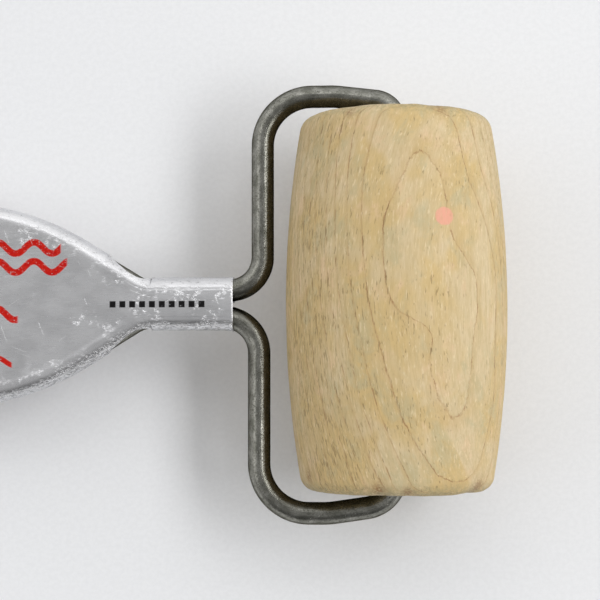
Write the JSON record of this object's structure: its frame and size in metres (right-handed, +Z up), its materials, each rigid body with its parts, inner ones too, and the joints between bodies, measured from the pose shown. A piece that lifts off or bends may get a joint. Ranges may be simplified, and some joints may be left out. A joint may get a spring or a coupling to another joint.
{
  "type": "two-ended dough roller",
  "caption": "Hand roller for pastry and pizza dough: a wooden barrel roller and a small roller spin on a bent steel rod frame with a curled aluminium handle.",
  "frame": {"origin": "centre of the bounding box on the ground that both rollers stand on", "axes": "+X along the handle towards the large roller, +Y along both roller axes, +Z up"},
  "size_m": [0.2346, 0.1014, 0.0508],
  "materials": {
    "rod_steel": "dark mottled plain steel wire, worn smooth",
    "sheet_aluminium": "mill finish sheet, lengthwise grain, scratched",
    "roller_wood": "bare pale hardwood, aged, fine dark flecks"
  },
  "bodies": {
    "frame": {"frame_rod_upper": "rod_steel", "frame_rod_lower": "rod_steel", "handle_plate": "sheet_aluminium"},
    "large_roller": {"large_roller": "roller_wood"},
    "small_roller": {"small_roller": "roller_wood"}
  },
  "joints": [
    {"name": "large_roller_spin", "type": "hinge", "parent": "frame", "child": "large_roller", "pos_m": [0.0919, 0.00005, 0.0254], "axis": [0, 1, 0], "continuous": true},
    {"name": "small_roller_spin", "type": "hinge", "parent": "frame", "child": "small_roller", "pos_m": [-0.10459, 0.00005, 0.0127], "axis": [0, 1, 0], "continuous": true}
  ]
}
